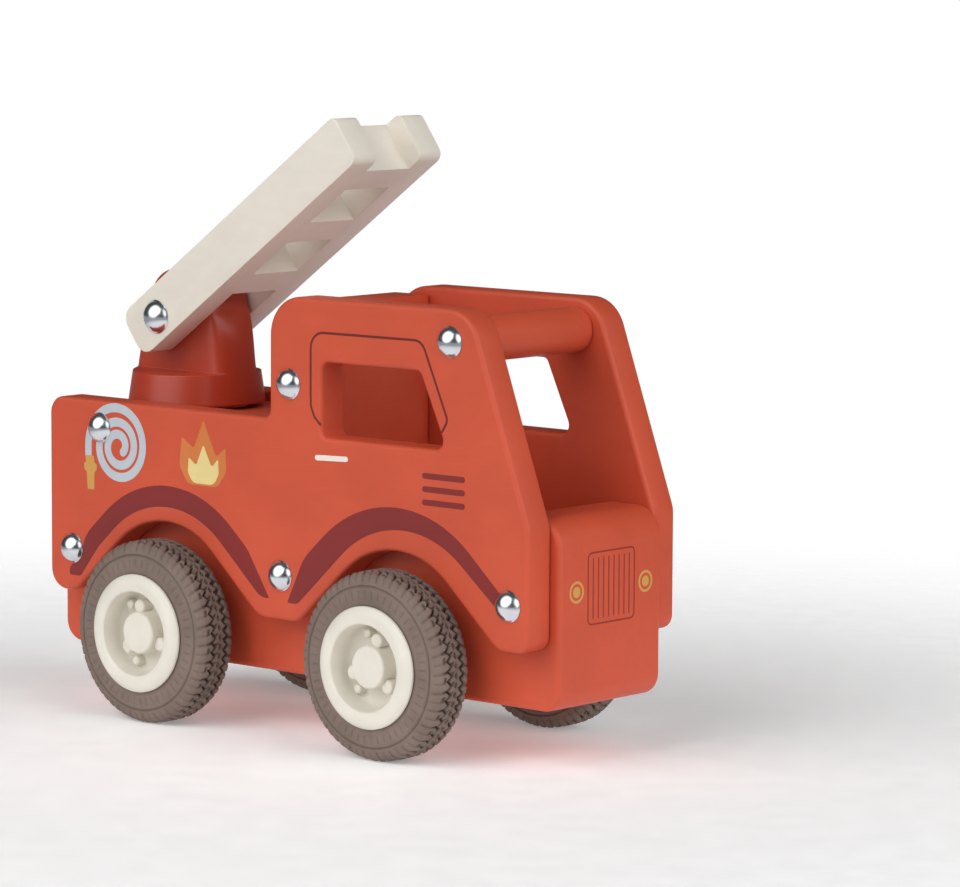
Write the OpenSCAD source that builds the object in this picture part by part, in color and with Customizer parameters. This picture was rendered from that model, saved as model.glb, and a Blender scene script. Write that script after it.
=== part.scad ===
// Toy fire engine: a painted wooden truck with an open-topped cab, four rubber-tyred
// wheels on two steel axles, and a raising ladder on a turning turret.
// +X points to the front, +Y to the truck's left, +Z up. The origin is on the ground,
// in the middle of the truck's length and width.

/* [Body] */
// Overall length from tail to nose
body_len = 189; // [188:0.5:190]
// Width of the blocks between the two side plates
block_w = 43; // [42:0.5:44]
// Thickness of each side plate
plate_t = 9.6; // [9:0.2:10]
// Height of the chassis underside above the ground
clearance = 16.5; // [16:0.5:17]
// Height of the cab floor, which lies above the tops of the wheel arches
floor_z = 57; // [57:0.5:59]
// Height of the top of the nose, which is the lower edge of the windscreen opening
nose_top_z = 68.5; // [66.5:0.5:69.5]
// Height of the side plates behind the cab
rail_z = 89.5; // [89:0.5:90.5]
// Height of the side plates at the cab
cab_top_z = 123.7; // [122.5:0.2:124.5]
// Thickness of the deck board under the turret
deck_t = 16; // [15:0.5:17]
// How far the deck board lies below the side plates' top edge
deck_recess = 3; // [2.5:0.5:3]

/* [Wheels] */
// Distance between the two axles
wheelbase = 88; // [86:0.5:89]
// How far the middle of the wheelbase lies in front of the body's middle
axle_shift = 0; // [-1:0.1:1]
// Outside diameter of a tyre
tyre_d = 52; // [51:0.5:52.5]
// Distance between the outer faces of two opposite rims
rim_span = 87.9; // [87.3:0.2:90.1]
// Width of a rim over both lips
rim_w = 17.9; // [17.5:0.1:18]
// Diameter of the steel axles
axle_d = 4; // [3.6:0.2:4.4]

/* [Turret and ladder] */
// Diameter of the turret at its foot
turret_d = 40; // [39:0.5:41]
// Height of the ladder's pivot pin above the ground
pivot_z = 113.3; // [112.9:0.2:114.1]
// Ladder pitch above the horizontal, at rest
ladder_pitch = 35.8; // [30:0.2:60]
// Distance from the pivot to the ladder's tip
ladder_reach = 91; // [88:0.5:92]
// Overall width of the ladder
ladder_w = 36.2; // [35:0.2:37]
// Thickness of each ladder rail
rail_t = 9.1; // [8.5:0.1:9.5]

/* [Fits] */
// Radial clearance of a turning pin in its bore
run_gap = 0.05; // [0.02:0.01:0.09]
// Gap between parts that turn face to face
face_gap = 0.25; // [0.15:0.05:0.4]

/* [Hidden] */
$fn = 96;
eps = 0.01;

// Side plates
plate_in = block_w / 2;
plate_out = plate_in + plate_t;
nose_x = body_len / 2;
tail_x = -body_len / 2;
plate_front_x = nose_x - 3.1;
plate_rear_x = tail_x + 3.8;
skirt_z = 33.3;
cab_rear_x = -2.9;
screen_top_x = 70.65;
screen_run = 0.365;
screen_foot_z = cab_top_z - (plate_front_x - screen_top_x) / screen_run;
arch_x = 44;
arch_half = 36.5;
arch_apex_z = 66;
arch_r = 27.5;
window_rear_x = 16.75;
window_z = [85.6, 106.3];
window_front_x = [62.2, 52.6];

// Blocks between the plates
nose_back_x = 75;
tail_front_x = -70;
tail_top_z = rail_z - deck_recess - deck_t;
block_round = 8;
wall_x = -2.2;
wall_t = 12.2;
wall_top_z = 121.5;
deck_top_z = rail_z - deck_recess;
deck_rear_x = -86;
bar_d = 12.6;
bar_pos = [63.55, 114.9];

// Dome-headed wood screws, as positions along the length and above the ground
screw_d = 3.5;
screw_len = 20;
dome_d = 8.8;
dome_h = 2.9;
deck_screw = [-69.9, 81.6];
wall_screw = [4.5, 99.4];
chassis_screws = [[-81.5, 45.7], [1.35, 45.7], [84.5, 45.7]];

// Wheels
axle_z = tyre_d / 2;
axle_x = [axle_shift - wheelbase / 2, axle_shift + wheelbase / 2];
rim_out = rim_span / 2;
rim_in = rim_out - rim_w;
rim_d = 33.6;
seat_d = 30.4;
lip_w = 2.1;
well_d = 23.8;
well_depth = 6;
back_depth = 10;
hub_d = 12;
hub_depth = 1.8;
hub_wall = 3.2;
axle_half = rim_out - hub_depth - hub_wall;
washer_d = 10;
washer_t = 2.5;
washer_gap = 0.1;

// Turret
turret_x = -61.4;
turret_z = deck_top_z + 1.2;
turret_slope = 0.15;
ledge_z = 96.5;
tongue_w = ladder_w - 2 * rail_t - 2 * face_gap;
tongue_r = 13.4;
tongue_x = -60.7;
turret_pin_d = 6;
turret_pin_head_d = 14;
turret_pin_head_t = 3;
turret_pin_top_z = 102.5;
turret_pin_gap = 0.1;
turret_washer_d = 30;
turret_washer_gap = 0.05;
lower_washer_d = 16;
lower_washer_t = 0.9;
turret_pin_head_top_z = deck_top_z - deck_t - lower_washer_t - turret_pin_gap;

// Ladder
pivot_x = -60;
ladder_pin_d = 5;
ladder_dome_d = 9.8;
ladder_dome_h = 3.1;
ladder_top = 8.1;
ladder_low = -6.8;
ladder_foot = -11.5;
gap_pitch = 26.9;
gap_len = 16.4;
rung_len = gap_pitch - gap_len;
slot_end = 21.8;
tip_notch = 5.8;

body_red = [0.78, 0.33, 0.25];
turret_red = [0.70, 0.26, 0.19];
rubber = [0.50, 0.45, 0.41];
cream = [0.89, 0.87, 0.81];
steel = [0.78, 0.79, 0.80];
nylon = [0.90, 0.89, 0.86];

// The points of a rounded outline. Each corner is [x, y, radius].
function unit(v) = v / norm(v);
function corner_arc(a, b, c, steps) =
    let (p = [b[0], b[1]],
         u = unit([a[0], a[1]] - p),
         v = unit([c[0], c[1]] - p),
         half = acos(u * v) / 2,
         centre = p + unit(u + v) * b[2] / sin(half),
         from = p + u * b[2] / tan(half) - centre,
         turn = sign(u[0] * v[1] - u[1] * v[0]) * (180 - 2 * half))
    [for (i = [0:steps])
        let (t = -turn * i / steps)
        centre + [from[0] * cos(t) - from[1] * sin(t), from[0] * sin(t) + from[1] * cos(t)]];
function rounded(corners, steps = 8) =
    let (n = len(corners))
    [for (i = [0:n - 1])
        let (b = corners[i])
        for (q = b[2] > 0 ? corner_arc(corners[(i + n - 1) % n], b, corners[(i + 1) % n], steps)
                          : [[b[0], b[1]]])
            q];

// A slab whose outline lies in the XZ plane, from y0 to y1
module upright(y0, y1) {
    translate([0, y1, 0]) rotate([90, 0, 0]) linear_extrude(y1 - y0) children();
}

// A round bar along Y through [x, z], from y0 to y1
module cross_pin(pos, d, y0, y1) {
    translate([pos[0], y1, pos[1]]) rotate([90, 0, 0]) cylinder(d = d, h = y1 - y0);
}

// Places its children at every body screw, on the truck's left for side = 1 and its right for -1
module at_body_screws(side, places) {
    for (p = places)
        translate([p[0], side * plate_out, p[1]]) rotate([side * -90, 0, 0]) children();
}

// A domed head on z = 0 with its shank below it
module dome_head(d, h) {
    ball = (d * d / 4 + h * h) / (2 * h);
    intersection() {
        translate([0, 0, h - ball]) sphere(r = ball);
        cylinder(d = d + 1, h = h + 1);
    }
}

module plate_outline() {
    arch = [arch_half, skirt_z, 7];
    polygon(rounded([
        [plate_rear_x, skirt_z, 6],
        [-arch_x - arch[0], arch[1], arch[2]],
        [-arch_x, arch_apex_z, arch_r],
        [-arch_x + arch[0], arch[1], arch[2]],
        [arch_x - arch[0], arch[1], arch[2]],
        [arch_x, arch_apex_z, arch_r],
        [arch_x + arch[0], arch[1], arch[2]],
        [plate_front_x, skirt_z, 4],
        [plate_front_x, screen_foot_z, 8],
        [screen_top_x, cab_top_z, 11],
        [cab_rear_x, cab_top_z, 11],
        [cab_rear_x, rail_z, 2.5],
        [plate_rear_x, rail_z, 5]
    ]));
}

module window_outline() {
    polygon(rounded([
        [window_rear_x, window_z[0], 2],
        [window_front_x[0], window_z[0], 2.5],
        [window_front_x[1], window_z[1], 2],
        [window_rear_x, window_z[1], 2]
    ], 4));
}

module side_plate(side) {
    color(body_red) difference() {
        upright(min(side * plate_in, side * plate_out), max(side * plate_in, side * plate_out))
            difference() {
                plate_outline();
                window_outline();
            }
        at_body_screws(side, concat(chassis_screws, [deck_screw, wall_screw, bar_pos]))
            translate([0, 0, -plate_t - 1]) cylinder(d = screw_d + 2 * run_gap, h = plate_t + 2);
    }
}

module side_plate_right() { side_plate(-1); }
module side_plate_left() { side_plate(1); }

module body_screws(side) {
    color(steel) at_body_screws(side, concat(chassis_screws, [deck_screw, wall_screw, bar_pos])) {
        dome_head(dome_d, dome_h);
        translate([0, 0, -screw_len]) cylinder(d = screw_d, h = screw_len + eps);
    }
}

module body_screws_right() { body_screws(-1); }
module body_screws_left() { body_screws(1); }

// Pilot holes of the screws that enter a block from both sides
module pilot_holes(places) {
    for (side = [-1, 1])
        at_body_screws(side, places) translate([0, 0, -screw_len]) cylinder(d = screw_d, h = screw_len);
}

module chassis() {
    color(body_red) difference() {
        upright(-plate_in, plate_in) polygon(rounded([
            [tail_x, clearance, 6],
            [nose_x, clearance, 6],
            [nose_x, nose_top_z, block_round],
            [nose_back_x, nose_top_z, 3],
            [nose_back_x, floor_z, 0],
            [tail_front_x, floor_z, 0],
            [tail_front_x, tail_top_z, 0],
            [tail_x, tail_top_z, block_round]
        ]));
        for (x = axle_x) cross_pin([x, axle_z], axle_d + 2 * run_gap, -plate_in - 1, plate_in + 1);
        pilot_holes(chassis_screws);
    }
}

module deck_board() {
    color(body_red) difference() {
        translate([deck_rear_x, -plate_in, deck_top_z - deck_t])
            cube([wall_x - deck_rear_x, block_w, deck_t]);
        translate([turret_x, 0, deck_top_z - deck_t - 1])
            cylinder(d = turret_pin_d + 2 * run_gap, h = deck_t + 2);
        pilot_holes([deck_screw]);
    }
}

module cab_rear_wall() {
    color(body_red) difference() {
        upright(-plate_in, plate_in) polygon(rounded([
            [wall_x, floor_z, 0],
            [wall_x + wall_t, floor_z, 0],
            [wall_x + wall_t, wall_top_z, 2],
            [wall_x, wall_top_z, 2]
        ], 4));
        pilot_holes([wall_screw]);
    }
}

module cab_crossbar() {
    color(body_red) difference() {
        cross_pin(bar_pos, bar_d, -plate_in, plate_in);
        pilot_holes([bar_pos]);
    }
}

module axle(end) {
    color(steel) cross_pin([axle_x[end], axle_z], axle_d, -axle_half, axle_half);
}

module front_axle() { axle(1); }
module rear_axle() { axle(0); }

// Stands its children, drawn with their depth below z = 0, as a wheel with its outer face at
// rim_out. end is 1 for the front axle and 0 for the rear one.
module at_wheel(end, side) {
    translate([axle_x[end], side * rim_out, axle_z]) rotate([side * -90, 0, 0]) children();
}

// Moulded wheel: a barrel with two lips, a dished front and a hub that holds the axle's end
module rim(end, side) {
    color(cream) at_wheel(end, side) rotate_extrude() polygon([
        [0, -hub_depth],
        [hub_d / 2, -hub_depth],
        [hub_d / 2 + 0.6, -well_depth],
        [well_d / 2 - 1.4, -well_depth],
        [well_d / 2, -1],
        [well_d / 2 + 1, 0],
        [rim_d / 2 - 0.8, 0],
        [rim_d / 2, -0.8],
        [rim_d / 2, -lip_w],
        [seat_d / 2, -lip_w],
        [seat_d / 2, lip_w - rim_w],
        [rim_d / 2, lip_w - rim_w],
        [rim_d / 2, -rim_w],
        [seat_d / 2 - 1.6, -rim_w],
        [seat_d / 2 - 2.4, -back_depth],
        [hub_d / 2, -back_depth],
        [hub_d / 2 - 0.6, -rim_w],
        [axle_d / 2, -rim_w],
        [axle_d / 2, -hub_depth - hub_wall],
        [0, -hub_depth - hub_wall]
    ]);
}

module rim_front_right() { rim(1, -1); }
module rim_front_left() { rim(1, 1); }
module rim_rear_right() { rim(0, -1); }
module rim_rear_left() { rim(0, 1); }

// Rubber tyre on the rim's seat, with rounded shoulders
module tyre(end, side) {
    half = (rim_w - 2 * lip_w) / 2;
    flank = [[22.3, half - 0.1], [24.5, half - 0.9], [25.5, half - 1.9], [tyre_d / 2, half - 3.2]];
    color(rubber) at_wheel(end, side) translate([0, 0, -rim_w / 2]) rotate_extrude()
        polygon(concat(
            [[seat_d / 2, -half], [seat_d / 2, half]],
            flank,
            [for (i = [len(flank) - 1:-1:0]) [flank[i][0], -flank[i][1]]]
        ));
}

module tyre_front_right() { tyre(1, -1); }
module tyre_front_left() { tyre(1, 1); }
module tyre_rear_right() { tyre(0, -1); }
module tyre_rear_left() { tyre(0, 1); }

// Two plain washers on one axle, each against the back of its hub
module axle_washers(end) {
    color(nylon) for (side = [-1, 1])
        translate([axle_x[end], side * (rim_in - washer_gap - washer_t), axle_z]) rotate([side * -90, 0, 0])
            difference() {
                cylinder(d = washer_d, h = washer_t);
                translate([0, 0, -1]) cylinder(d = axle_d, h = washer_t + 2);
            }
}

module axle_washers_front() { axle_washers(1); }
module axle_washers_rear() { axle_washers(0); }

// Turned cone with both sides cut flat above a ledge, which leaves the tongue for the ladder.
// The tongue's top is an arc about a line close to the pivot.
module turret() {
    rise = pivot_z + tongue_r + 1 - turret_z;
    ledge_r = turret_d / 2 - turret_slope * (ledge_z - turret_z);
    color(turret_red) difference() {
        intersection() {
            translate([turret_x, 0, turret_z])
                cylinder(d1 = turret_d, d2 = turret_d - 2 * turret_slope * rise, h = rise);
            upright(-turret_d, turret_d) polygon(concat(
                [[turret_x - turret_d / 2 - 1, turret_z - 1], [turret_x - ledge_r, ledge_z]],
                [for (a = [172:-8.2:8]) [tongue_x + tongue_r * cos(a), pivot_z + tongue_r * sin(a)]],
                [[turret_x + ledge_r, ledge_z], [turret_x + turret_d / 2 + 1, turret_z - 1]]
            ));
        }
        for (side = [-1, 1])
            translate([turret_x - turret_d, side > 0 ? tongue_w / 2 : -tongue_w / 2 - turret_d, ledge_z])
                cube([2 * turret_d, turret_d, rise]);
        cross_pin([pivot_x, pivot_z], ladder_pin_d + 2 * run_gap, -turret_d, turret_d);
        translate([turret_x, 0, turret_z - 1]) cylinder(d = turret_pin_d, h = turret_pin_top_z - turret_z + 1);
    }
}

// Flat ring on the turret pin, from z0 to z1
module pin_washer(d, z0, z1) {
    color(nylon) translate([turret_x, 0, z0]) difference() {
        cylinder(d = d, h = z1 - z0);
        translate([0, 0, -1]) cylinder(d = turret_pin_d, h = z1 - z0 + 2);
    }
}

module turret_washer() {
    pin_washer(turret_washer_d, deck_top_z + turret_washer_gap, turret_z);
}

// Headed pin pressed into the turret from below, which turns in the deck board
module turret_pin() {
    color(steel) translate([turret_x, 0, turret_pin_head_top_z - turret_pin_head_t]) {
        cylinder(d = turret_pin_head_d, h = turret_pin_head_t);
        cylinder(d = turret_pin_d, h = turret_pin_top_z - turret_pin_head_top_z + turret_pin_head_t);
    }
}

module turret_lower_washer() {
    pin_washer(lower_washer_d, turret_pin_head_top_z, turret_pin_head_top_z + lower_washer_t);
}

// Stands the ladder, drawn along X from its pivot, at its pitch
module at_pivot() {
    translate([pivot_x, 0, pivot_z]) rotate([0, -ladder_pitch, 0]) children();
}

module ladder() {
    gap_w = ladder_w - 2 * rail_t;
    depth = ladder_top - ladder_low + 2;
    color(cream) at_pivot() difference() {
        upright(-ladder_w / 2, ladder_w / 2) polygon(rounded([
            [ladder_foot, ladder_top, 4],
            [ladder_reach, ladder_top, 2],
            [ladder_reach, ladder_low, 2.6],
            [ladder_foot, ladder_low, 4.5]
        ], 4));
        translate([ladder_foot - 1, -gap_w / 2, ladder_low - 1])
            cube([slot_end - ladder_foot + 1, gap_w, depth]);
        for (i = [0, 1])
            translate([slot_end + rung_len + i * gap_pitch, -gap_w / 2, ladder_low - 1])
                cube([gap_len, gap_w, depth]);
        translate([ladder_reach - tip_notch, -gap_w / 2, ladder_low - 1])
            cube([tip_notch + 1, gap_w, depth]);
        cross_pin([0, 0], ladder_pin_d, -ladder_w, ladder_w);
    }
}

// Pin through the rails and the tongue, with a dome on each end
module ladder_pin() {
    color(steel) at_pivot() {
        cross_pin([0, 0], ladder_pin_d, -ladder_w / 2 - eps, ladder_w / 2 + eps);
        for (side = [-1, 1])
            translate([0, side * ladder_w / 2, 0]) rotate([side * -90, 0, 0])
                dome_head(ladder_dome_d, ladder_dome_h);
    }
}

chassis();
side_plate_right();
side_plate_left();
deck_board();
cab_rear_wall();
cab_crossbar();
body_screws_right();
body_screws_left();
front_axle();
rear_axle();
rim_front_right();
rim_front_left();
rim_rear_right();
rim_rear_left();
tyre_front_right();
tyre_front_left();
tyre_rear_right();
tyre_rear_left();
axle_washers_front();
axle_washers_rear();
turret();
turret_washer();
turret_pin();
turret_lower_washer();
ladder();
ladder_pin();
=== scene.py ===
"""Toy fire engine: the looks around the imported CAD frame.

+X is the truck's front, +Y its left and +Z up, with the ground at zero. The truck's sizes are in
millimetres, and finish_mesh turns them into metres. The stage's sizes are in metres.
"""

import math

import bmesh
import bpy
from mathutils import Matrix, Vector
from mathutils.geometry import tessellate_polygon


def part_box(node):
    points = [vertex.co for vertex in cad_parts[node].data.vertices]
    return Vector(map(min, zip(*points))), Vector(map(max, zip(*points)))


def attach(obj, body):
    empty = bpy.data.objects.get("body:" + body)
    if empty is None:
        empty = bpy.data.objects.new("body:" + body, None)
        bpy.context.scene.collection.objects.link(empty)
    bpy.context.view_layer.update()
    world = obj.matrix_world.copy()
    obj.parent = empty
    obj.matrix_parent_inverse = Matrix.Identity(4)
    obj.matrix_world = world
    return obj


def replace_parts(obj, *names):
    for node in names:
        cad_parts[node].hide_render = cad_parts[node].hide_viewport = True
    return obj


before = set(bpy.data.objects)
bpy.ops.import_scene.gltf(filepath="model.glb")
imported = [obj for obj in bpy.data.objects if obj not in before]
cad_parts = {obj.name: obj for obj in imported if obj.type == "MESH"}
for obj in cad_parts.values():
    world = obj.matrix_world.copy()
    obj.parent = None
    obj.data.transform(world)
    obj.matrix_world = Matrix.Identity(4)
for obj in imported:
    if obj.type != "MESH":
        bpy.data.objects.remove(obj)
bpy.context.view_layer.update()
MM = 0.001

# The side plates: the sign of their Y, and their name
SIDES = ((-1, "right"), (1, "left"))


# ---------------------------------------------------------------- dimensions

PLATE_LO, PLATE_HI = (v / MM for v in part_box("side_plate_left"))
PLATE_IN, PLATE_OUT = PLATE_LO.y, PLATE_HI.y
BLOCK_LO, BLOCK_HI = (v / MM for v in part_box("chassis"))
DECK_LO, DECK_HI = (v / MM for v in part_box("deck_board"))
WALL_LO, WALL_HI = (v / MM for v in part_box("cab_rear_wall"))
BAR_LO, BAR_HI = (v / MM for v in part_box("cab_crossbar"))
RIM_LO, RIM_HI = (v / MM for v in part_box("rim_front_left"))
TYRE_LO, TYRE_HI = (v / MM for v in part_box("tyre_front_left"))
TURRET_LO, TURRET_HI = (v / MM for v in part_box("turret"))
PIN_LO, PIN_HI = (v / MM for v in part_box("ladder_pin"))

# The side plates' outline, the arches about the axles at -ARCH_X and ARCH_X
RAIL_Z = 89.5
CAB_REAR_X = -2.9
SCREEN_TOP_X = 70.65
SCREEN_RUN = 0.365
SKIRT_Z = PLATE_LO.z
ARCH_X = 44.0
ARCH_HALF = 36.5
ARCH_APEX_Z = 66.0
ARCH_R = 27.5
LOBE_R = 7

# The chassis block between them
FLOOR_Z = 57.0
NOSE_TOP_Z = 68.5
NOSE_REAR_X = 75
TAIL_FRONT_X = -70

# The screws in one side plate, as (x, z), and the domes' sizes
SCREWS = [(-81.5, 45.7), (1.35, 45.7), (84.5, 45.7), (-69.9, 81.6), (4.5, 99.4), (63.55, 114.9)]
SCREW_DOME_D, SCREW_DOME_H = 8.8, 2.9
LADDER_DOME_D, LADDER_DOME_H = 9.8, 3.1


# ---------------------------------------------------------------- outlines

def corner_arc(a, b, c, radius, steps):
    """Points of the round that replaces the corner b between a and c."""
    p, q, r = Vector(b), Vector(a), Vector(c)
    u, v = (q - p).normalized(), (r - p).normalized()
    half = math.acos(max(-1.0, min(1.0, u.dot(v)))) / 2
    centre = p + (u + v).normalized() * radius / math.sin(half)
    start = p + u * radius / math.tan(half) - centre
    turn = math.copysign(math.pi - 2 * half, u.x * v.y - u.y * v.x)
    points = []
    for i in range(steps + 1):
        t = -turn * i / steps
        points.append(centre + Vector((start.x * math.cos(t) - start.y * math.sin(t),
                                       start.x * math.sin(t) + start.y * math.cos(t))))
    return points


def rounded(corners, steps=10):
    """A closed outline from (x, y, radius) corners."""
    points = []
    for i, (x, y, radius) in enumerate(corners):
        before, after = corners[i - 1], corners[(i + 1) % len(corners)]
        if radius > 0:
            points += corner_arc(before[:2], (x, y), after[:2], radius, steps)
        else:
            points.append(Vector((x, y)))
    return points


def area(points):
    """The signed area of a closed outline, positive where it turns anticlockwise."""
    return sum(a.x * b.y - b.x * a.y for a, b in zip(points, points[1:] + points[:1])) / 2


def oriented(points, hole=False):
    """The outline with its material on the left of its direction."""
    return points if (area(points) > 0) != hole else points[::-1]


def inset(points, depth):
    """The outline moved into its material, which is on its left."""
    moved = []
    for a, b, c in zip(points[-1:] + points[:-1], points, points[1:] + points[:1]):
        n1 = Vector((a.y - b.y, b.x - a.x)).normalized()
        n2 = Vector((b.y - c.y, c.x - b.x)).normalized()
        n = n1 + n2
        moved.append(b + n * depth / max(0.3, n.dot(n1)) if n.length > 1e-6 else b)
    return moved


def ribbon(path, width, closed=False, cap_steps=6):
    """The outline, or the two outlines, of a band that follows a path."""
    path = [Vector(p) for p in path]
    if closed:
        path = oriented(path)
        return [inset(path, -width / 2), inset(path, width / 2)]
    left, right = [], []
    for i, p in enumerate(path):
        d = (path[min(i + 1, len(path) - 1)] - path[max(i - 1, 0)]).normalized()
        n = Vector((-d.y, d.x)) * width / 2
        left.append(p + n)
        right.append(p - n)

    def cap(p, start):
        """A half circle round an end of the path."""
        return [p + Vector((math.cos(start + math.pi * k / cap_steps),
                            math.sin(start + math.pi * k / cap_steps))) * width / 2
                for k in range(1, cap_steps)]

    d0, d1 = (path[1] - path[0]), (path[-1] - path[-2])
    a0, a1 = math.atan2(d0.y, d0.x), math.atan2(d1.y, d1.x)
    return [right + cap(path[-1], a1 - math.pi / 2) + left[::-1] + cap(path[0], a0 + math.pi / 2)]


# ---------------------------------------------------------------- meshes

def finish_mesh(name, bm, body, material, sharp=35):
    """Turns a bmesh in millimetres into a piece that rides on a body."""
    bmesh.ops.remove_doubles(bm, verts=bm.verts, dist=1e-4)
    bmesh.ops.recalc_face_normals(bm, faces=bm.faces)
    bmesh.ops.scale(bm, vec=(MM, MM, MM), verts=bm.verts)
    mesh = bpy.data.meshes.new(name)
    bm.to_mesh(mesh)
    bm.free()
    mesh.shade_smooth()
    mesh.set_sharp_from_angle(angle=math.radians(sharp))
    piece = bpy.data.objects.new(name, mesh)
    bpy.context.scene.collection.objects.link(piece)
    mesh.materials.append(material)
    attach(piece, body)
    return piece


def side_view(u, v, w):
    """An outline in the XZ plane with its depth along Y."""
    return Vector((u, w, v))


def front_view(u, v, w):
    """An outline in the YZ plane with its depth along X."""
    return Vector((w, u, v))


def join_rings(bm, rings):
    """Faces from each ring of points to the next. A ring of one point is a pole."""
    for a, b in zip(rings, rings[1:]):
        steps = max(len(a), len(b))
        if steps == 1:
            continue
        for k in range(steps):
            j = (k + 1) % steps
            if len(a) == 1:
                bm.faces.new((a[0], b[j], b[k]))
            elif len(b) == 1:
                bm.faces.new((a[k], a[j], b[0]))
            else:
                bm.faces.new((a[k], a[j], b[j], b[k]))


def add_slab(bm, loops, w0, w1, edge, place=side_view, steps=4):
    """A solid of constant thickness with round edges. Its first loop is the outside, the rest are holes."""
    loops = [oriented(loops[0])] + [oriented(loop, hole=True) for loop in loops[1:]]
    turn = [math.pi / 2 * k / steps for k in range(steps + 1)]
    low = [(edge * (1 - math.cos(a)), w0 + edge * (1 - math.sin(a))) for a in turn]
    high = [(d, w0 + w1 - w) for d, w in low]
    face_inset = edge * 1.25
    rings = [(face_inset, w0)] + low[::-1] + high + [(face_inset, w1)]
    built = []
    for depth, w in rings:
        built.append([[bm.verts.new(place(p.x, p.y, w)) for p in inset(loop, depth)] for loop in loops])
    for lower, upper in zip(built, built[1:]):
        for pair in zip(lower, upper):
            join_rings(bm, pair)
    for ring in (built[0], built[-1]):
        verts = [v for loop in ring for v in loop]
        face_loops = [[Vector((p.x, p.y, 0)) for p in inset(loop, face_inset)] for loop in loops]
        for tri in tessellate_polygon(face_loops):
            bm.faces.new([verts[i] for i in tri])


def slab(name, loops, w0, w1, edge, body, material, place=side_view):
    """One slab as a piece of its own."""
    bm = bmesh.new()
    add_slab(bm, loops, w0, w1, edge, place)
    return finish_mesh(name, bm, body, material)


def add_lathe(bm, profile, steps, frame_of=None):
    """A solid of revolution about Z from (radius, z) points. frame_of places it."""
    frame_of = frame_of or Matrix.Identity(4)
    rings = []
    for r, z in profile:
        if r < 1e-6:
            rings.append([bm.verts.new(frame_of @ Vector((0, 0, z)))])
            continue
        ring = []
        for k in range(steps):
            a = 2 * math.pi * k / steps
            ring.append(bm.verts.new(frame_of @ Vector((r * math.cos(a), r * math.sin(a), z))))
        rings.append(ring)
    join_rings(bm, rings)


def outward(side):
    """The turn that takes +Z to the truck's left for side 1, or its right for side -1."""
    return Matrix.Rotation(-side * math.pi / 2, 4, "X")


def fillet(points, radius_at, steps=5):
    """An open (radius, depth) profile with some of its corners rounded."""
    out = []
    for i, p in enumerate(points):
        if i in radius_at:
            out += [tuple(q) for q in corner_arc(points[i - 1], p, points[i + 1], radius_at[i], steps)]
        else:
            out.append(p)
    return out


def softened(node, edge, body, material, name, segments=4, angle=32):
    """A copy of a CAD node with its sharp edges rounded, which stands for that node."""
    bm = bmesh.new()
    bm.from_mesh(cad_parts[node].data)
    bmesh.ops.remove_doubles(bm, verts=bm.verts, dist=1e-6)
    bmesh.ops.dissolve_limit(bm, angle_limit=math.radians(1), verts=bm.verts, edges=bm.edges)
    sharp = [e for e in bm.edges if len(e.link_faces) == 2 and e.calc_face_angle() > math.radians(angle)]
    bmesh.ops.bevel(bm, geom=sharp, offset=edge * MM, segments=segments, profile=0.5,
                    affect="EDGES", clamp_overlap=True, offset_type="OFFSET")
    bmesh.ops.scale(bm, vec=(1 / MM, 1 / MM, 1 / MM), verts=bm.verts)
    piece = finish_mesh(name, bm, body, material, sharp=40)
    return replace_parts(piece, node)


# ---------------------------------------------------------------- materials

def node_material(name, build):
    """A material on a Principled shader. build(tree, shader, coords) adds its nodes."""
    mat = bpy.data.materials.new(name)
    mat.use_nodes = True
    tree = mat.node_tree
    tree.nodes.clear()
    out = tree.nodes.new("ShaderNodeOutputMaterial")
    shader = tree.nodes.new("ShaderNodeBsdfPrincipled")
    tree.links.new(shader.outputs["BSDF"], out.inputs["Surface"])
    coords = tree.nodes.new("ShaderNodeTexCoord")
    build(tree, shader, coords.outputs["Object"])
    return mat


def add_noise(tree, coords, scale, detail=3.0, rough=0.5, stretch=(1, 1, 1)):
    """Noise over the object's own coordinates, stretched along some axes."""
    mapping = tree.nodes.new("ShaderNodeMapping")
    mapping.inputs["Scale"].default_value = stretch
    tree.links.new(coords, mapping.inputs["Vector"])
    tex = tree.nodes.new("ShaderNodeTexNoise")
    tex.inputs["Scale"].default_value = scale
    tex.inputs["Detail"].default_value = detail
    tex.inputs["Roughness"].default_value = rough
    tree.links.new(mapping.outputs["Vector"], tex.inputs["Vector"])
    return tex.outputs["Fac"]


def add_ramp(tree, fac, low, high, at=(0.35, 0.65)):
    """A colour that goes from low to high as the factor does."""
    ramp = tree.nodes.new("ShaderNodeValToRGB")
    ramp.color_ramp.elements[0].position, ramp.color_ramp.elements[1].position = at
    ramp.color_ramp.elements[0].color = (*low, 1)
    ramp.color_ramp.elements[1].color = (*high, 1)
    tree.links.new(fac, ramp.inputs["Fac"])
    return ramp.outputs["Color"]


def add_range(tree, fac, low, high):
    """A number that goes from low to high as the factor goes from 0 to 1."""
    node = tree.nodes.new("ShaderNodeMapRange")
    node.inputs["To Min"].default_value = low
    node.inputs["To Max"].default_value = high
    tree.links.new(fac, node.inputs["Value"])
    return node.outputs["Result"]


def multiplied(tree, first, second, share=1.0):
    """One colour multiplied by another, by a share."""
    mix = tree.nodes.new("ShaderNodeMix")
    mix.data_type = "RGBA"
    mix.blend_type = "MULTIPLY"
    mix.inputs["Factor"].default_value = share
    tree.links.new(first, mix.inputs[6])
    tree.links.new(second, mix.inputs[7])
    return mix.outputs[2]


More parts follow.
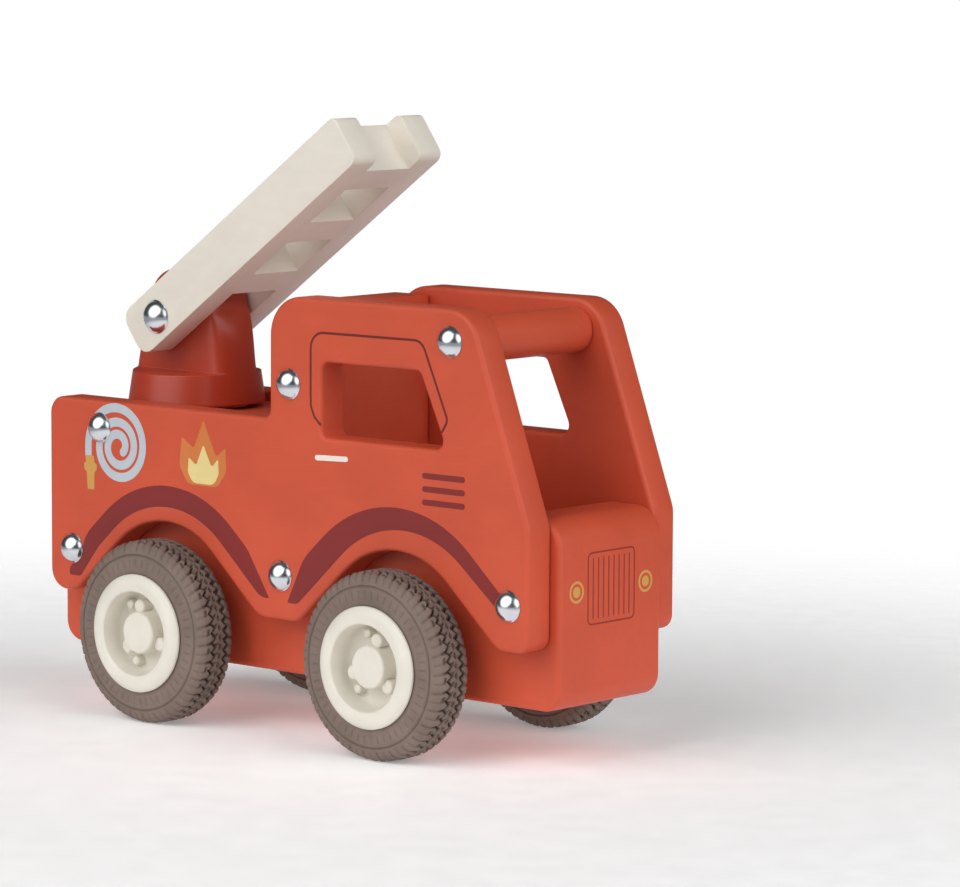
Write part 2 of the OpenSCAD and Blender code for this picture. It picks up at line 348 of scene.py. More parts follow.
def add_bump(tree, shader, layers):
    """Stacks (height, strength, distance in mm) bumps on the shader."""
    normal = None
    for height, strength, distance in layers:
        bump = tree.nodes.new("ShaderNodeBump")
        bump.inputs["Strength"].default_value = strength
        bump.inputs["Distance"].default_value = distance * MM
        tree.links.new(height, bump.inputs["Height"])
        if normal:
            tree.links.new(normal, bump.inputs["Normal"])
        normal = bump.outputs["Normal"]
    tree.links.new(normal, shader.inputs["Normal"])


def srgb(r, g, b):
    """Linear colour of an 0 to 255 display colour."""
    def linear(channel):
        c = channel / 255
        return c / 12.92 if c <= 0.04045 else ((c + 0.055) / 1.055) ** 2.4
    return linear(r), linear(g), linear(b)


def tint(colour, factor):
    """The colour made lighter or darker."""
    return tuple(min(1.0, c * factor) for c in colour)


def painted_wood(name, colour, rough, grain=(0.25, 1, 1), coat=0.0, spread=0.05):
    """Paint over sanded wood: faint grain along the board, fine orange peel and a little mottling."""
    def build(tree, shader, coords):
        mottle = add_noise(tree, coords, 38, 4, 0.55)
        speck = add_noise(tree, coords, 900, 2, 0.6)
        grain_fac = add_noise(tree, coords, 420, 3, 0.6, grain)
        base = add_ramp(tree, mottle, tint(colour, 1 - spread), tint(colour, 1 + spread))
        streaks = add_ramp(tree, grain_fac, (0.93, 0.92, 0.92), (1, 1, 1))
        tree.links.new(multiplied(tree, base, streaks, 0.35), shader.inputs["Base Color"])
        shader.inputs["Specular IOR Level"].default_value = 0.35
        tree.links.new(add_range(tree, mottle, rough - 0.05, rough + 0.06), shader.inputs["Roughness"])
        shader.inputs["Coat Weight"].default_value = coat
        shader.inputs["Coat Roughness"].default_value = 0.25
        add_bump(tree, shader, [(grain_fac, 0.12, 0.05), (speck, 0.10, 0.03)])
    return node_material(name, build)


def moulded(name, colour, rough):
    """Satin moulded plastic with a fine even texture."""
    def build(tree, shader, coords):
        mottle = add_noise(tree, coords, 90, 3)
        fine = add_noise(tree, coords, 2200, 2, 0.6)
        tree.links.new(add_ramp(tree, mottle, tint(colour, 0.965), tint(colour, 1.03)),
                       shader.inputs["Base Color"])
        tree.links.new(add_range(tree, fine, rough - 0.05, rough + 0.07), shader.inputs["Roughness"])
        shader.inputs["Subsurface Weight"].default_value = 0.04
        shader.inputs["Subsurface Radius"].default_value = (0.0012, 0.0010, 0.0008)
        add_bump(tree, shader, [(fine, 0.08, 0.02)])
    return node_material(name, build)


def rubber(name, colour):
    """Matte rubber with a dusty bloom, a fine mould texture and painted shade in its grooves, darker the
    deeper they are cut.
    """
    def build(tree, shader, coords):
        bloom = add_noise(tree, coords, 130, 5, 0.65)
        fine = add_noise(tree, coords, 2600, 3, 0.7)
        # Painted shade: the base colour is darkened by each point's groove depth, standing in for the shade
        # inside the tread's grooves.
        groove_depth = tree.nodes.new("ShaderNodeAttribute")
        groove_depth.attribute_name = "groove"
        shade = add_ramp(tree, groove_depth.outputs["Fac"], (1, 1, 1), (0.22, 0.2, 0.19), at=(0.15, 0.85))
        base = add_ramp(tree, bloom, tint(colour, 0.88), tint(colour, 1.1))
        tree.links.new(multiplied(tree, base, shade), shader.inputs["Base Color"])
        tree.links.new(add_range(tree, bloom, 0.62, 0.8), shader.inputs["Roughness"])
        shader.inputs["Specular IOR Level"].default_value = 0.3
        add_bump(tree, shader, [(fine, 0.25, 0.04)])
    return node_material(name, build)


def metal(name, colour, rough, stretch=(1, 1, 1), scratch=0.05):
    """Bright metal with fine scratches and a little uneven polish."""
    def build(tree, shader, coords):
        polish = add_noise(tree, coords, 260, 3)
        lines = add_noise(tree, coords, 1800, 4, 0.7, stretch)
        shader.inputs["Metallic"].default_value = 1.0
        tree.links.new(add_ramp(tree, polish, tint(colour, 0.95), tint(colour, 1.02)),
                       shader.inputs["Base Color"])
        tree.links.new(add_range(tree, polish, rough * 0.7, rough * 1.4), shader.inputs["Roughness"])
        add_bump(tree, shader, [(lines, scratch, 0.01)])
    return node_material(name, build)


RED = painted_wood("red_paint", srgb(204, 82, 54), 0.45)
GLOSS_RED = painted_wood("gloss_red_paint", srgb(178, 62, 40), 0.32, grain=(1, 1, 0.3), coat=0.15)
MAROON = painted_wood("maroon_print", srgb(130, 40, 38), 0.5, spread=0.04)
CREAM = painted_wood("cream_paint", srgb(232, 225, 212), 0.42, grain=(0.3, 1, 1), spread=0.02)
CREAM_PLASTIC = moulded("cream_plastic", srgb(226, 221, 209), 0.38)
TYRE_RUBBER = rubber("tyre_rubber", srgb(124, 108, 99))
NYLON = moulded("nylon", srgb(228, 226, 220), 0.45)
CHROME = metal("chrome", (0.74, 0.78, 0.83), 0.17)
STEEL = metal("turned_steel", (0.62, 0.62, 0.63), 0.3, stretch=(1, 0.15, 1), scratch=0.3)
GREY_PRINT = painted_wood("grey_print", srgb(190, 197, 205), 0.5, spread=0.03)
GOLD_PRINT = painted_wood("mustard_print", srgb(206, 156, 82), 0.5, spread=0.04)
ORANGE_PRINT = painted_wood("orange_print", srgb(208, 122, 62), 0.5, spread=0.05)
YELLOW_PRINT = painted_wood("yellow_print", srgb(230, 208, 142), 0.5, spread=0.04)
WHITE_PRINT = painted_wood("white_print", srgb(238, 229, 218), 0.5, spread=0.03)
DARK_PRINT = painted_wood("dark_print", srgb(108, 34, 28), 0.5, spread=0.04)
FINE_PRINT = painted_wood("fine_print", srgb(146, 46, 36), 0.5, spread=0.04)


# ---------------------------------------------------------------- body

# How round the boards' edges are
PLATE_EDGE, BLOCK_EDGE, DECK_EDGE, WALL_EDGE, BAR_EDGE = 1.1, 1.4, 1.0, 1.3, 0.6


def plate_outline():
    """A side plate in side view, from its tail along the skirt and arches to the front, and back."""
    screen_foot_z = PLATE_HI.z - (PLATE_HI.x - SCREEN_TOP_X) / SCREEN_RUN
    arches = []
    for x in (-ARCH_X, ARCH_X):
        arches += [
            (x - ARCH_HALF, SKIRT_Z, LOBE_R),
            (x, ARCH_APEX_Z, ARCH_R),
            (x + ARCH_HALF, SKIRT_Z, LOBE_R),
        ]
    return rounded([
        (PLATE_LO.x, SKIRT_Z, 6),
        *arches,
        (PLATE_HI.x, SKIRT_Z, 4),
        (PLATE_HI.x, screen_foot_z, 8),
        (SCREEN_TOP_X, PLATE_HI.z, 11),
        (CAB_REAR_X, PLATE_HI.z, 11),
        (CAB_REAR_X, RAIL_Z, 2.5),
        (PLATE_LO.x, RAIL_Z, 5),
    ], 12)


def window_outline():
    """The side window, whose front edge slopes with the windscreen."""
    rear_x, foot_x, head_x = 16.75, 62.2, 52.6
    sill_z, head_z = 85.6, 106.3
    return rounded([(rear_x, sill_z, 2), (foot_x, sill_z, 2.5), (head_x, head_z, 2), (rear_x, head_z, 2)], 6)


def board_outline(lo, hi):
    """The side view of a plain board that fills the box from lo to hi."""
    return [Vector((lo.x, lo.z)), Vector((hi.x, lo.z)), Vector((hi.x, hi.z)), Vector((lo.x, hi.z))]


def block_outline():
    """The chassis block in side view: nose, cab floor and the tail under the deck."""
    return rounded([
        (BLOCK_LO.x, BLOCK_LO.z, 6),
        (BLOCK_HI.x, BLOCK_LO.z, 6),
        (BLOCK_HI.x, NOSE_TOP_Z, 8),
        (NOSE_REAR_X, NOSE_TOP_Z, 3),
        (NOSE_REAR_X, FLOOR_Z, 0),
        (TAIL_FRONT_X, FLOOR_Z, 0),
        (TAIL_FRONT_X, BLOCK_HI.z, 0),
        (BLOCK_LO.x, BLOCK_HI.z, 8),
    ])


def make_plates():
    """Both side plates, with their windows."""
    for side, label in SIDES:
        low, high = sorted((side * PLATE_IN, side * PLATE_OUT))
        plate = slab(f"plate_{label}", [plate_outline(), window_outline()], low, high, PLATE_EDGE,
                     "truck", RED)
        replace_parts(plate, f"side_plate_{label}")


def make_blocks():
    """The chassis block, the deck and the cab's rear wall, between the plates."""
    half = BLOCK_HI.y
    for node, name, outline, edge in (
            ("chassis", "chassis_block", block_outline(), BLOCK_EDGE),
            ("deck_board", "deck", board_outline(DECK_LO, DECK_HI), DECK_EDGE),
            ("cab_rear_wall", "rear_wall", board_outline(WALL_LO, WALL_HI), WALL_EDGE)):
        board = slab(name, [outline], -half, half, edge, "truck", RED)
        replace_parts(board, node)


def make_crossbar():
    """The round bar over the windscreen."""
    half = BLOCK_HI.y
    radius = (BAR_HI.x - BAR_LO.x) / 2
    middle = ((BAR_LO.x + BAR_HI.x) / 2, 0, (BAR_LO.z + BAR_HI.z) / 2)
    profile = [(0, -half), (radius, -half), (radius, half), (0, half)]
    bm = bmesh.new()
    add_lathe(bm, fillet(profile, {1: BAR_EDGE, 2: BAR_EDGE}), 64, Matrix.Translation(middle) @ outward(1))
    bar = finish_mesh("crossbar", bm, "truck", RED)
    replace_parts(bar, "cab_crossbar")


# The shanks, whose domes' sizes are above
SCREW_SHANK_R, SCREW_LEN = 1.7, 19
LADDER_PIN_R = 2.5


def dome_profile(diameter, height, shank_r, shank_len, steps=14):
    """A screw's (radius, height) profile: domed head, a small rolled rim, then its shank."""
    r = diameter / 2
    ball = (r * r + height * height) / (2 * height)
    top = math.asin(min(1, (r - 0.25) / ball))
    dome = [(ball * math.sin(top * k / steps), height - ball + ball * math.cos(top * k / steps))
            for k in range(steps + 1)]
    rolled_rim = [(r, 0.22), (r, 0.05), (r - 0.15, 0)]
    return dome + rolled_rim + [(shank_r, 0), (shank_r, -shank_len), (0, -shank_len)]


def make_screws():
    """The screws of each side plate, as one piece a side."""
    for side, label in SIDES:
        bm = bmesh.new()
        for x, z in SCREWS:
            place = Matrix.Translation((x, side * PLATE_OUT, z)) @ outward(side)
            add_lathe(bm, dome_profile(SCREW_DOME_D, SCREW_DOME_H, SCREW_SHANK_R, SCREW_LEN), 48, place)
        screws = finish_mesh(f"dome_screws_{label}", bm, "truck", CHROME)
        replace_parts(screws, f"body_screws_{label}")


# ---------------------------------------------------------------- wheels

RIM_R = (RIM_HI.x - RIM_LO.x) / 2
RIM_W = RIM_HI.y - RIM_LO.y
TYRE_R = (TYRE_HI.x - TYRE_LO.x) / 2
TYRE_HALF = (TYRE_HI.y - TYRE_LO.y) / 2

# The radius at which the tyre sits on the rim, and the width of the rim's lips
SEAT_R = 15.2
LIP_W = 2.1


def add_lug(bm, angle, radius, post_r, z0, z1):
    """A round post in the rim's dish, beside the hub."""
    place = Matrix.Rotation(angle, 4, "Z") @ Matrix.Translation((radius, 0, 0))
    profile = [(0, z1), (post_r, z1), (post_r + 0.2, z0), (0, z0)]
    add_lathe(bm, fillet(profile, {1: 0.7}), 32, place)


def rim_mesh():
    """The rim about Z, with its outer face at z = 0 and its depth below."""
    lip_steps, lip_drop, crest_r = 14, 1.25, 13.5
    dish_z, back_z, spread_deg = -7.2, -10.0, 120
    half = RIM_R - crest_r
    lip = [(crest_r + half * k / lip_steps, -lip_drop * (k / lip_steps) ** 2.4) for k in range(lip_steps + 1)]
    hub = fillet([(0, -1.5), (5.9, -1.9), (6.2, dish_z), (11.2, dish_z), (12.0, -0.2), lip[0]],
                 {1: 0.9, 2: 0.8, 3: 2.2, 4: 0.65}, 6)
    back = fillet([
        lip[-1], (RIM_R, -LIP_W), (SEAT_R, -LIP_W), (SEAT_R, LIP_W - RIM_W), (RIM_R, LIP_W - RIM_W),
        (RIM_R, -RIM_W), (13.6, -RIM_W), (12.8, back_z), (6.0, back_z), (5.4, -RIM_W), (0, -RIM_W),
    ], {1: 0.25, 5: 0.6, 6: 0.5, 7: 0.8, 8: 0.6, 9: 0.4})
    bm = bmesh.new()
    add_lathe(bm, hub + lip[1:] + back[1:], 144)
    for k in range(3):
        add_lug(bm, math.radians(78 + spread_deg * k), 7.4, 2.0, dish_z - 1, -3.6)
        add_lug(bm, math.radians(108 + spread_deg * k), 9.3, 1.3, dish_z - 1, -4.6)
    return bm


def smooth_step(a, b, x):
    """A soft step from 0 at a to 1 at b, which falls where a is the larger."""
    t = min(1.0, max(0.0, (x - a) / (b - a)))
    return t * t * (3 - 2 * t)


def groove(distance, half_width, soft=0.22):
    """1 inside a groove, 0 outside it, with soft walls. The distance is from its middle."""
    return 1 - smooth_step(half_width - soft, half_width + soft, abs(distance))


# The tread's pattern: repeats round the tyre, depth, and the zig-zag groove's place each side of the middle
TREAD_PITCHES = 30
TREAD_DEEP = 1.0
BAND_HALF, ZIG_SWING = 2.5, 0.75

# The radii from which the tread, the step below it and the sidewall's ribs are moulded
TREAD_FOOT_R = 22.4
STEP_FOOT_R, STEP_DEEP = 21.7, 0.35
RIBS, RIB_FOOT_R, RIB_HEAD_R, RIB_DEEP = 52, 17.8, 21.4, 0.26


def tread_depth(turns, s, r):
    """How deep the tread is cut at a place on the tyre, from 0 to 1. s is the place across it."""
    across = abs(s)
    pitch = 2 * math.pi * TYRE_R / TREAD_PITCHES
    phase = turns * TREAD_PITCHES + (0.25 if s > 0 else 0.0)
    zig = abs((phase * 2 % 1.0) - 0.5) * 4 - 1
    line = BAND_HALF + ZIG_SWING * zig
    slant = 0.06 * (across - 3.0)
    long_off = ((phase + slant) % 1.0 - 0.5) * pitch
    short_off = ((phase + 0.5 + slant) % 1.0 - 0.5) * pitch
    on_shoulder = smooth_step(22.9, 23.5, r) * smooth_step(line, line + 0.4, across)
    at_barb = 1.0 if -0.2 < short_off < 1.5 else 0.0
    cuts = [
        groove(across - line, 0.46),
        0.75 * groove(long_off, 0.42) * on_shoulder,
        0.6 * groove(short_off, 0.32) * on_shoulder * smooth_step(3.9, 4.5, across),
        0.65 * groove(across - 4.2, 0.35) * at_barb,
    ]
    if across < line:
        middle_off = ((turns * TREAD_PITCHES * 2 + 0.18 * s) % 1.0 - 0.5) * pitch / 2
        cuts.append(0.7 * groove(middle_off, 0.3) * smooth_step(0.5, 0.9, across))
        cuts.append(0.8 * groove(s + 0.45 * zig, 0.26))
    return max(cuts)


def tyre_sink(turns, s, r):
    """How far the moulded surface lies below the tyre's outer skin."""
    if r > TREAD_FOOT_R:
        return TREAD_DEEP * tread_depth(turns, s, r) * (0.45 + 0.55 * smooth_step(5.4, 3.4, abs(s)))
    if r > STEP_FOOT_R:
        return STEP_DEEP
    if RIB_FOOT_R < r < RIB_HEAD_R:
        off = ((turns * RIBS) % 1.0 - 0.5) * 2 * math.pi * r / RIBS
        ends = smooth_step(18.3, 18.8, r) * smooth_step(21.1, 20.7, r)
        return RIB_DEEP * groove(off, 0.3, 0.2) * ends
    return 0.0


def tyre_section():
    """Points (s, r) across the tyre from one bead to the other, close enough together for the tread."""
    h, spacing = TYRE_HALF, 0.27
    corners = [(h - 0.6, SEAT_R), (h - 0.1, 16.9), (h + 0.1, 19.5), (h - 0.1, 21.9), (h - 0.25, 22.5),
               (h - 0.8, 24.3), (h - 1.8, 25.4), (h - 3.3, TYRE_R), (0, TYRE_R + 0.1)]
    half = []
    for (s0, r0), (s1, r1) in zip(corners, corners[1:]):
        steps = max(1, round(math.hypot(s1 - s0, r1 - r0) / spacing))
        half += [(s0 + (s1 - s0) * k / steps, r0 + (r1 - r0) * k / steps) for k in range(steps)]
    return half + [corners[-1]] + [(-s, r) for s, r in half[::-1]]


def tyre_mesh(steps=544):
    """The tyre about Z, with its middle at z = 0. The layer "groove" holds how deep each point lies, which
    the rubber turns into painted shade.
    """
    section = tyre_section()
    bm = bmesh.new()
    groove_layer = bm.verts.layers.float.new("groove")
    rings = []
    for i, (s, r) in enumerate(section):
        (s0, r0), (s1, r1) = section[max(i - 1, 0)], section[min(i + 1, len(section) - 1)]
        normal = Vector((r1 - r0, s0 - s1)).normalized()
        inward, sideways = (max(0.35, abs(normal.y)), abs(normal.x)) if r > TREAD_FOOT_R else (0.0, 1.0)
        ring = []
        for k in range(steps):
            turns = k / steps
            sink = tyre_sink(turns, s, r)
            a = 2 * math.pi * turns
            radius = r - sink * inward
            depth = s - math.copysign(sink * sideways, s)
            vert = bm.verts.new((radius * math.cos(a), radius * math.sin(a), depth))
            vert[groove_layer] = sink
            ring.append(vert)
        rings.append(ring)
    join_rings(bm, rings + rings[:1])
    return bm


def make_wheels():
    """The four rims and tyres, each rolled to a different place."""
    rolled = {("front", "right"): 0, ("rear", "right"): 20, ("front", "left"): 50, ("rear", "left"): 75}
    for kind, maker, material, slot_name in (("rim", rim_mesh, CREAM_PLASTIC, "cream_plastic"),
                                             ("tyre", tyre_mesh, TYRE_RUBBER, "tyre_rubber")):
        source = maker()
        for (end, label), degrees in rolled.items():
            node = f"{kind}_{end}_{label}"
            side = -1 if label == "right" else 1
            lo, hi = (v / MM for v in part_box(node))
            place = (lo + hi) / 2
            if kind == "rim":
                place.y = side * max(abs(lo.y), abs(hi.y))
            roll = Matrix.Rotation(math.radians(degrees), 4, "Z")
            bm = source.copy()
            bmesh.ops.transform(bm, verts=bm.verts, matrix=Matrix.Translation(place) @ outward(side) @ roll)
            piece = finish_mesh(f"{node}_fine", bm, f"{end}_wheels", material, sharp=50)
            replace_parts(piece, node)
        source.free()


# ---------------------------------------------------------------- turret and ladder

# The turret's cone stands about TURRET_X, and its tongue is about TONGUE_X and the ladder's pivot
TURRET_X = -61.4
CONE_SLOPE = 0.15
CONE_FOOT_ROUND, FOOT_STEPS = 0.6, 4
LEDGE_Z, LEDGE_SOFT = 96.5, 0.7
TONGUE_X, TONGUE_R, TONGUE_HALF = -60.7, 13.4, 8.75
PIVOT_Z = (PIN_LO.z + PIN_HI.z) / 2
SHOULDER_Z = PIVOT_Z + 1.9
LADDER_EDGE = 1.2


def evenly(low, high, steps):
    """Numbers from low to high, both among them, in equal steps."""
    return [low + (high - low) * k / steps for k in range(steps + 1)]


def turret_levels():
    """The heights of the turret's rings, closest together at the foot, the ledge and the round top."""
    foot = [TURRET_LO.z + CONE_FOOT_ROUND * (1 - math.cos(math.pi / 2 * k / FOOT_STEPS))
            for k in range(FOOT_STEPS + 1)]
    sides = evenly(88.6, 95.3, 8) + evenly(95.65, 97.45, 12) + evenly(98, SHOULDER_Z, 16)
    start = math.asin((SHOULDER_Z - PIVOT_Z) / TONGUE_R)
    angles = evenly(start, math.pi / 2, 26)[1:]
    return foot + sides + [PIVOT_Z + TONGUE_R * math.sin(a) for a in angles]


def turret_mesh():
    """Turned cone whose sides are cut flat above a soft ledge, up to a tongue with a round top."""
    foot_r = (TURRET_HI.x - TURRET_LO.x) / 2
    ledge_r = foot_r - CONE_SLOPE * (LEDGE_Z - TURRET_LO.z)
    top_z, top_round = PIVOT_Z + TONGUE_R, 1.2
    flat_power, reach_power, steps = 11.0, 14.0, 180
    bm = bmesh.new()
    rings = []
    for i, z in enumerate(turret_levels()):
        cone = foot_r - CONE_SLOPE * (z - TURRET_LO.z)
        if i <= FOOT_STEPS:
            cone -= CONE_FOOT_ROUND * (1 - math.sin(math.pi / 2 * i / FOOT_STEPS))
        cut = smooth_step(LEDGE_Z - LEDGE_SOFT, LEDGE_Z + LEDGE_SOFT, z)
        if z < SHOULDER_Z:
            risen = max(0.0, z - LEDGE_Z) / (SHOULDER_Z - LEDGE_Z)
            reach = TONGUE_R + (1.35 * ledge_r - TONGUE_R) * (1 - risen)
        else:
            reach = math.sqrt(max(0.0, TONGUE_R ** 2 - (z - PIVOT_Z) ** 2))
        below_top = min(top_round, max(0.0, top_z - z))
        pull = top_round - math.sqrt(top_round ** 2 - (top_round - below_top) ** 2)
        flat = TONGUE_HALF - pull + (cone * 2.6 - TONGUE_HALF) * (1 - cut)
        middle_x = TURRET_X + (TONGUE_X - TURRET_X) * smooth_step(LEDGE_Z, PIVOT_Z, z)
        ring = []
        for k in range(steps):
            a = 2 * math.pi * k / steps
            r = ((1 / cone) ** flat_power + (abs(math.sin(a)) / flat) ** flat_power) ** (-1 / flat_power)
            if z > LEDGE_Z:
                end = (abs(math.cos(a)) / max(reach, 0.02)) ** reach_power
                r = ((1 / r) ** reach_power + end) ** (-1 / reach_power)
            ring.append(bm.verts.new((middle_x + r * math.cos(a), r * math.sin(a), z)))
        rings.append(ring)
    join_rings(bm, rings)
    bm.faces.new(rings[0][::-1])
    bm.faces.new(rings[-1])
    return bm


def make_turret_and_ladder():
    """The turret, the ladder, and the pivot pin as two domed halves that meet in the tongue."""
    turret = finish_mesh("turret_cone", turret_mesh(), "turret", GLOSS_RED, sharp=60)
    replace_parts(turret, "turret")
    softened("ladder", LADDER_EDGE, "ladder", CREAM, "ladder_frame")
    middle = (PIN_LO + PIN_HI) / 2
    bm = bmesh.new()
    half = PIN_HI.y - LADDER_DOME_H
    for side in (-1, 1):
        place = Matrix.Translation((middle.x, side * half, middle.z)) @ outward(side)
        add_lathe(bm, dome_profile(LADDER_DOME_D, LADDER_DOME_H, LADDER_PIN_R, half), 56, place)
    pin = finish_mesh("pivot_pin", bm, "ladder", CHROME)
    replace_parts(pin, "ladder_pin")


# ---------------------------------------------------------------- printed trim

# How far a print stands proud of the paint and is sunk into it, and the round of its edge
PRINT_T, PRINT_SUNK, PRINT_EDGE = 0.06, 0.02, 0.015


def printed(name, loops, side, material, order=0):
    """A printed shape on one side plate, in side view. A higher order lies on top of a lower one."""
    face = PLATE_OUT + PRINT_T * (1 + 0.4 * order)
    low, high = sorted((side * (PLATE_OUT - PRINT_SUNK), side * face))
    return slab(name, loops, low, high, PRINT_EDGE, "truck", material)


# Outlines in side view, as (x, z, radius) corners
REAR_STRIPE = [(-82.7, 37.9, 0.5), (-78.2, 37.8, 1.5), (-70.5, 47.4, 15), (-43.0, 71.9, 31.9),
               (-6.3, 39.0, 6), (-2.9, 38.9, 0.3), (-11.3, 52.0, 14), (-42.9, 79.8, 37.8),
               (-75.6, 50.5, 12), (-77.9, 44.7, 3), (-82.5, 39.9, 0.5)]
FRONT_STRIPE = [(4.0, 38.5, 0.3), (7.8, 38.4, 3), (45.5, 73.4, 33), (83.6, 42.1, 1.5), (84.0, 46.7, 0.8),
                (44.3, 82.5, 39.8), (10.2, 51.5, 14)]
FLAME = [(-34.5, 68.3, 3.5), (-22.8, 68.3, 3.5), (-19.4, 73.0, 3.5), (-19.8, 79.8, 0.3), (-23.4, 76.8, 0.9),
         (-28.4, 87.0, 0.3), (-32.2, 78.6, 0.9), (-36.9, 81.6, 0.3), (-37.9, 73.4, 4)]
FLAME_HEART = [(-32.6, 68.8, 3), (-24.2, 68.8, 3), (-22.4, 72.2, 2), (-22.6, 76.4, 0.3), (-25.2, 73.8, 0.7),
               (-28.4, 80.0, 0.3), (-31.2, 73.9, 0.7), (-34.2, 76.0, 0.3), (-34.5, 71.8, 2)]

# The hose's nozzle in side view, as (x, z) corners
NOZZLE = [(-75.9, 73.3), (-72.4, 73.3), (-72.2, 71.3), (-71.2, 70.9), (-71.2, 69.3), (-72.1, 68.5),
          (-72.3, 63.5), (-75.0, 63.5), (-75.3, 68.5), (-76.4, 69.3), (-76.4, 70.9), (-75.6, 71.3)]


def hose_path():
    """A coil that opens anticlockwise from its middle, then runs straight down to the nozzle."""
    centre_x, centre_z = -62.25, 76.7
    start_r, pitch, first, last = 2.65, 3.5, -40, 900
    points = []
    for degrees in range(first, last + 1, 8):
        r = start_r + pitch * degrees / 360 + smooth_step(700, 900, degrees)
        a = math.radians(degrees)
        points.append((centre_x + r * math.cos(a), centre_z + r * math.sin(a)))
    end_x, end_z = points[-1]
    drop_x = end_x - 0.05
    return points + [(drop_x, end_z - 1.5), (drop_x, NOZZLE[0][1])]


def round_outline(centre, radius, steps=40):
    """A circle as a closed outline."""
    angles = [2 * math.pi * k / steps for k in range(steps)]
    return [Vector((centre[0] + radius * math.cos(a), centre[1] + radius * math.sin(a))) for a in angles]


def door_path():
    """The door's line, from under the window up its rear, along the roof and down the windscreen's slope."""
    roof_z = 114.5
    rear_low, rear_high = (12.8, 97.5), (12.8, roof_z - 0.1)
    roof, head, bend = (40, roof_z + 0.1), (53.6, roof_z + 0.1), (60.2, 99.7)
    path = [(16.4, 89.1), (14.2, 91.1), (12.9, 94.0), rear_low]
    path += corner_arc(rear_low, rear_high, roof, 4.6, 8)
    path += corner_arc(roof, head, bend, 4.2, 8)
    path += corner_arc(bend, (63, 93.7), (60.6, 90.1), 2.4, 6)
    return path + [(60.9, 90.5)]


def make_side_prints(side, label):
    """The arch stripes, door line, handle, vents, hose and flame on one side plate."""
    for end, stripe in (("rear", REAR_STRIPE), ("front", FRONT_STRIPE)):
        printed(f"arch_stripe_{end}_{label}", [rounded(stripe, 20)], side, MAROON)
    printed(f"door_line_{label}", ribbon(door_path(), 0.65), side, DARK_PRINT)
    printed(f"door_handle_{label}", ribbon([(15.2, 79.9), (26.0, 80.3)], 1.5), side,
            WHITE_PRINT)
    vents, vent_top_z, vent_spacing = 3, 78.2, 3.6
    for k in range(vents):
        z = vent_top_z - vent_spacing * k
        printed(f"vent_{k}_{label}", ribbon([(54.7, z), (68.4, z)], 1.6), side, MAROON)
    printed(f"hose_coil_{label}", ribbon(hose_path(), 2.6), side, GREY_PRINT)
    printed(f"hose_nozzle_{label}", [rounded([(*p, 0.2) for p in NOZZLE], 3)], side,
            GOLD_PRINT, 1)
    printed(f"flame_{label}", [rounded(FLAME, 10)], side, ORANGE_PRINT)
    printed(f"flame_heart_{label}", [rounded(FLAME_HEART, 10)], side, YELLOW_PRINT, 1)


def nose_print(name, loops, material):
    """A printed shape on the nose, in front view."""
    slab(name, loops, BLOCK_HI.x - PRINT_SUNK, BLOCK_HI.x + PRINT_T, PRINT_EDGE,
         "truck", material, front_view)


def make_nose_prints():
    """A grille and two lamps on the nose."""
    half, low, high, corner_r, bars = 9.8, 39.3, 58.7, 1.6, 8
    corners = [(-half, low, corner_r), (half, low, corner_r), (half, high, corner_r), (-half, high, corner_r)]
    nose_print("grille_frame", ribbon(rounded(corners, 8), 0.42, closed=True), FINE_PRINT)
    for k in range(bars):
        y = half * (2 * (k + 1) / (bars + 1) - 1)
        nose_print(f"grille_bar_{k}", ribbon([(y, low + corner_r), (y, high - corner_r)], 0.38), FINE_PRINT)
    for side, label in SIDES:
        spot = (side * 14.6, 48.7)
        nose_print(f"lamp_ring_{label}", [round_outline(spot, 3.0), round_outline(spot, 2.3)], GOLD_PRINT)
        nose_print(f"lamp_{label}", [round_outline(spot, 1.5)], GOLD_PRINT)


def make_prints():
    for side, label in SIDES:
        make_side_prints(side, label)
    make_nose_prints()


# ---------------------------------------------------------------- stage

def softbox(name, place, aim, width, height, radiance):
    """A rectangular light of an even radiance, which faces a point."""
    light = bpy.data.lights.new(name, "AREA")
    light.shape = "RECTANGLE"
    light.size, light.size_y = width, height
    light.energy = radiance * math.pi * width * height
    lamp = bpy.data.objects.new(name, light)
    lamp.location = place
    lamp.rotation_mode = "QUATERNION"
    lamp.rotation_quaternion = (Vector(aim) - Vector(place)).to_track_quat("-Z", "Y")
    bpy.context.scene.collection.objects.link(lamp)


def towards(azimuth, elevation, distance=1.0):
    """A point around the truck. Azimuth 0 is on its right, 90 in front of it."""
    a, e = math.radians(azimuth), math.radians(elevation)
    return Vector((math.sin(a) * math.cos(e), -math.cos(a) * math.cos(e), math.sin(e))) * distance


